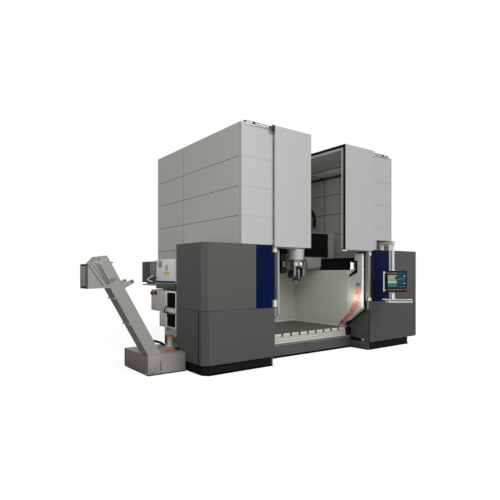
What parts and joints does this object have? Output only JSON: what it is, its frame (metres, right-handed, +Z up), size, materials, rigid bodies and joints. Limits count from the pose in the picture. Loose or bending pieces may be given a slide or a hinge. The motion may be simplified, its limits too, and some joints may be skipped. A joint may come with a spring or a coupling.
{
  "type": "cnc machining center",
  "caption": "Five-axis gantry milling machine in a tall panelled enclosure, with sliding doors, a tilting spindle head over a slotted table, a swing pendant and a chip conveyor.",
  "frame": {"origin": "on the floor under the enclosure's centre, on the underside of the middle levelling mount", "axes": "+Z up, +X to the right along the front, +Y to the back; the doorway faces -Y"},
  "size_m": [7.244, 3.7882, 4.07],
  "materials": {
    "wall_paint": "powder coat, fine texture, warm light grey",
    "front_paint": "powder coat, satin, light silver grey",
    "console_paint": "textured powder coat, dark grey",
    "cabinet_paint": "textured powder coat, dark grey",
    "blue_gloss": "high gloss lacquer, deep blue",
    "black_paint": "matt black",
    "casting_paint": "semi-gloss paint on cast iron, pale green grey",
    "base_paint": "satin paint, dark grey",
    "table_iron": "ground cast iron, oiled",
    "liner_steel": "washable white enamel sheet",
    "bright_steel": "ground steel",
    "aluminium": "anodised",
    "bellows": "coated black bellows cloth",
    "head_paint": "semi-gloss pale grey",
    "spindle_dark": "satin black",
    "window": "tinted laminated safety glass",
    "screen": "glossy display glass",
    "pendant_grey": "satin light grey",
    "red_plastic": "moulded, glossy",
    "hose_plastic": "translucent polyurethane, orange",
    "conveyor_paint": "satin grey",
    "tank_paint": "satin grey",
    "belt_steel": "hinged steel plates",
    "cup_plastic": "translucent polyethylene",
    "unit_white": "satin white",
    "unit_dark": "textured dark grey",
    "black_plastic": "moulded, matt",
    "lamp_glass": "frosted tube",
    "mount_steel": "raw"
  },
  "bodies": {
    "machine": {"levelling_feet": "mount_steel", "base_frame": "base_paint", "work_table": "table_iron", "left_shoulder": "casting_paint", "right_shoulder": "casting_paint", "cell_liner": "liner_steel", "left_side_wall": "wall_paint", "right_side_wall": "wall_paint", "back_wall": "wall_paint", "fixed_roof": "wall_paint", "front_panels": "front_paint", "door_cylinders": "aluminium", "left_console_lower": "console_paint", "left_console_upper": "console_paint", "right_console_lower": "console_paint", "right_console_upper": "cabinet_paint", "blue_panels": "blue_gloss", "plinths": "black_paint", "aprons": "black_paint", "door_brackets": "liner_steel", "work_lamps": "lamp_glass", "y_bellows_front": "bellows", "y_bellows_rear": "bellows", "pendant_base": "pendant_grey", "hose_hook": "bright_steel", "air_hose": "hose_plastic", "air_gun": "red_plastic", "conveyor_tank": "tank_paint", "tank_fittings": "cup_plastic", "conveyor_trunk": "conveyor_paint", "conveyor_belt": "belt_steel", "supply_unit": "unit_white", "filter_unit": "unit_dark", "side_cabinets": "unit_white", "louvre_grilles": "black_plastic"},
    "crossbeam": {"crossbeam": "casting_paint", "x_bellows_left": "bellows", "x_bellows_right": "bellows"},
    "saddle": {"saddle": "head_paint", "accumulator": "unit_dark"},
    "ram": {"ram": "head_paint"},
    "fork_head": {"fork_head": "bright_steel"},
    "spindle_housing": {"spindle_housing": "spindle_dark"},
    "spindle_nose": {"spindle_nose": "bright_steel"},
    "left_roof_door": {"left_roof_door": "front_paint"},
    "right_roof_door": {"right_roof_door": "front_paint"},
    "left_front_door": {"left_front_door": "front_paint", "left_door_window": "window"},
    "right_front_door": {"right_front_door": "front_paint", "right_door_window": "window"},
    "cabinet_door": {"cabinet_door": "cabinet_paint"},
    "pendant_arm": {"pendant_arm": "pendant_grey"},
    "pendant_panel": {"pendant_panel": "pendant_grey", "pendant_screen": "screen"},
    "keyboard_tray": {"keyboard_tray": "pendant_grey"},
    "stop_button": {"stop_button": "red_plastic"},
    "conveyor_drum": {"conveyor_drum": "bright_steel"},
    "main_switch_knob": {"main_switch_knob": "red_plastic"},
    "valve_knob": {"valve_knob": "red_plastic"}
  },
  "joints": [
    {"name": "crossbeam_y", "type": "slide", "parent": "machine", "child": "crossbeam", "axis": [0, 1, 0], "range_m": [-0.5, 0.7], "deforming": ["y_bellows_front", "y_bellows_rear"]},
    {"name": "saddle_x", "type": "slide", "parent": "crossbeam", "child": "saddle", "axis": [1, 0, 0], "range_m": [-0.75, 0.55], "deforming": ["x_bellows_left", "x_bellows_right"]},
    {"name": "ram_z", "type": "slide", "parent": "saddle", "child": "ram", "axis": [0, 0, 1], "range_m": [-0.86, 0.04]},
    {"name": "head_c", "type": "hinge", "parent": "ram", "child": "fork_head", "pos_m": [0.106, -0.57, 1.815], "axis": [0, 0, 1], "range_deg": [-270, 270]},
    {"name": "head_a", "type": "hinge", "parent": "fork_head", "child": "spindle_housing", "pos_m": [0.106, -0.57, 1.56], "axis": [1, 0, 0], "range_deg": [-110, 110]},
    {"name": "spindle_spin", "type": "hinge", "parent": "spindle_housing", "child": "spindle_nose", "pos_m": [0.106, -0.57, 1.42], "axis": [0, 0, 1], "continuous": true},
    {"name": "left_roof_door_x", "type": "slide", "parent": "machine", "child": "left_roof_door", "axis": [1, 0, 0], "range_m": [0, 0.455]},
    {"name": "right_roof_door_x", "type": "slide", "parent": "machine", "child": "right_roof_door", "axis": [-1, 0, 0], "range_m": [0, 0.455]},
    {"name": "left_front_door_x", "type": "slide", "parent": "machine", "child": "left_front_door", "axis": [1, 0, 0], "range_m": [0, 1.198]},
    {"name": "right_front_door_x", "type": "slide", "parent": "machine", "child": "right_front_door", "axis": [-1, 0, 0], "range_m": [0, 1.198]},
    {"name": "cabinet_door_swing", "type": "hinge", "parent": "machine", "child": "cabinet_door", "pos_m": [2.967, -0.766, 1.53], "axis": [0, 0, 1], "range_deg": [0, 110]},
    {"name": "pendant_arm_swing", "type": "hinge", "parent": "machine", "child": "pendant_arm", "pos_m": [1.756, -1.44, 2.12], "axis": [0, 0, 1], "range_deg": [-15, 55]},
    {"name": "pendant_panel_turn", "type": "hinge", "parent": "pendant_arm", "child": "pendant_panel", "pos_m": [1.551, -1.87, 2.16], "axis": [0, 0, 1], "range_deg": [-45, 60]},
    {"name": "keyboard_fold", "type": "hinge", "parent": "pendant_panel", "child": "keyboard_tray", "pos_m": [1.545, -1.878, 1.064], "axis": [0.8, -0.6, 0], "range_deg": [0, 80]},
    {"name": "stop_button_press", "type": "slide", "parent": "pendant_panel", "child": "stop_button", "axis": [0.6, 0.8, 0], "range_m": [0, 0.005], "stiffness_N_per_m": 1500},
    {"name": "conveyor_drum_spin", "type": "hinge", "parent": "machine", "child": "conveyor_drum", "pos_m": [-3.91196, -0.775, 1.616], "axis": [0, 1, 0], "continuous": true},
    {"name": "main_switch_turn", "type": "hinge", "parent": "machine", "child": "main_switch_knob", "pos_m": [-2.564, 0.52, 1.205], "axis": [1, 0, 0], "range_deg": [0, 90]},
    {"name": "valve_turn", "type": "hinge", "parent": "machine", "child": "valve_knob", "pos_m": [-2.564, 0.36, 1.215], "axis": [1, 0, 0], "range_deg": [0, 90]}
  ]
}
